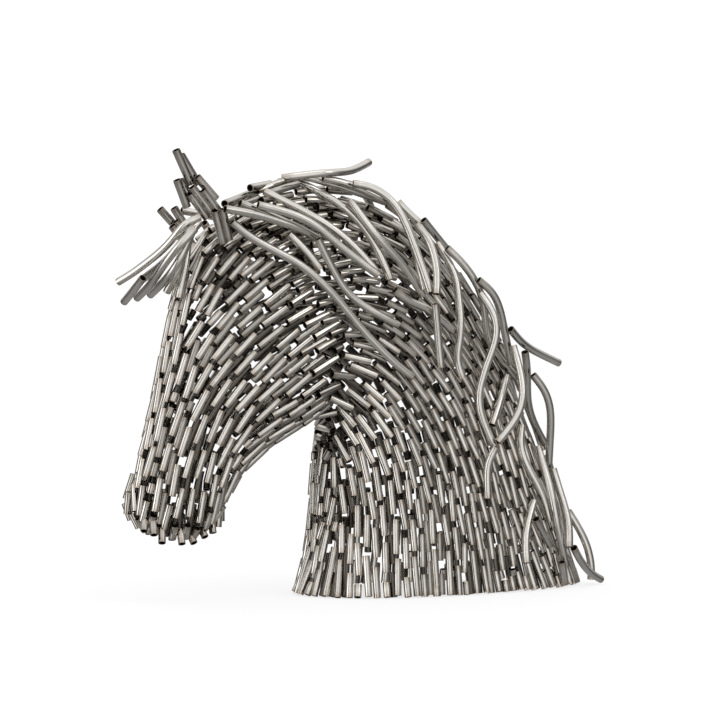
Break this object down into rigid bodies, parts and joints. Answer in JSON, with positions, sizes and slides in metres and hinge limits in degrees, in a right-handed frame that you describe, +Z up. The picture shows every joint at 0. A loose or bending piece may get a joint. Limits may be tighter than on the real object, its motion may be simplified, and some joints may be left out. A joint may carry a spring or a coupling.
{
  "type": "pipe horse sculpture",
  "caption": "Bust of a horse, head and neck, as a hollow see-through skin of short steel pipes welded in staggered rows, with a mane and forelock of bent tubes, cut flat below.",
  "frame": {"origin": "on the flat cut under the neck, below the middle of the bust's box", "axes": "the horse faces -X, its left side is at -Y, +Z is up"},
  "size_m": [0.9832, 0.311, 0.8358],
  "materials": {
    "short_pipes": "satin stainless pipe, brushed along its length, heat tints at the welds",
    "ear_pipes": "satin stainless pipe, a little darker, heat tints at the welds",
    "bent_tubes": "smooth satin stainless tube, brushed along its length"
  },
  "bodies": {
    "root": {"pipe_skin": "short_pipes", "ear_left": "ear_pipes", "ear_right": "ear_pipes", "forelock_1": "bent_tubes", "forelock_2": "bent_tubes", "forelock_3": "bent_tubes", "forelock_4": "bent_tubes", "forelock_5": "bent_tubes", "forelock_6": "bent_tubes", "forelock_7": "bent_tubes", "mane_left_01": "bent_tubes", "mane_left_02": "bent_tubes", "mane_left_03": "bent_tubes", "mane_left_04": "bent_tubes", "mane_left_05": "bent_tubes", "mane_left_06": "bent_tubes", "mane_left_07": "bent_tubes", "mane_left_08": "bent_tubes", "mane_left_09": "bent_tubes", "mane_left_10": "bent_tubes", "mane_left_11": "bent_tubes", "mane_left_12": "bent_tubes", "mane_left_13": "bent_tubes", "mane_left_14": "bent_tubes", "mane_left_15": "bent_tubes", "mane_left_16": "bent_tubes", "mane_left_17": "bent_tubes", "mane_left_18": "bent_tubes", "mane_left_19": "bent_tubes", "mane_left_20": "bent_tubes", "mane_left_21": "bent_tubes", "mane_left_22": "bent_tubes", "mane_left_23": "bent_tubes", "mane_left_24": "bent_tubes", "mane_left_25": "bent_tubes", "mane_left_26": "bent_tubes", "mane_left_27": "bent_tubes", "mane_left_28": "bent_tubes", "mane_left_29": "bent_tubes", "mane_left_30": "bent_tubes", "mane_left_31": "bent_tubes", "mane_left_32": "bent_tubes", "mane_left_33": "bent_tubes", "mane_left_34": "bent_tubes", "mane_left_35": "bent_tubes", "mane_left_36": "bent_tubes", "mane_left_37": "bent_tubes", "mane_left_38": "bent_tubes", "mane_left_39": "bent_tubes", "mane_right_01": "bent_tubes", "mane_right_02": "bent_tubes", "mane_right_03": "bent_tubes", "mane_right_04": "bent_tubes", "mane_right_05": "bent_tubes", "mane_right_06": "bent_tubes", "mane_right_07": "bent_tubes", "mane_right_08": "bent_tubes", "mane_right_09": "bent_tubes", "mane_right_10": "bent_tubes", "mane_right_11": "bent_tubes"}
  },
  "joints": []
}
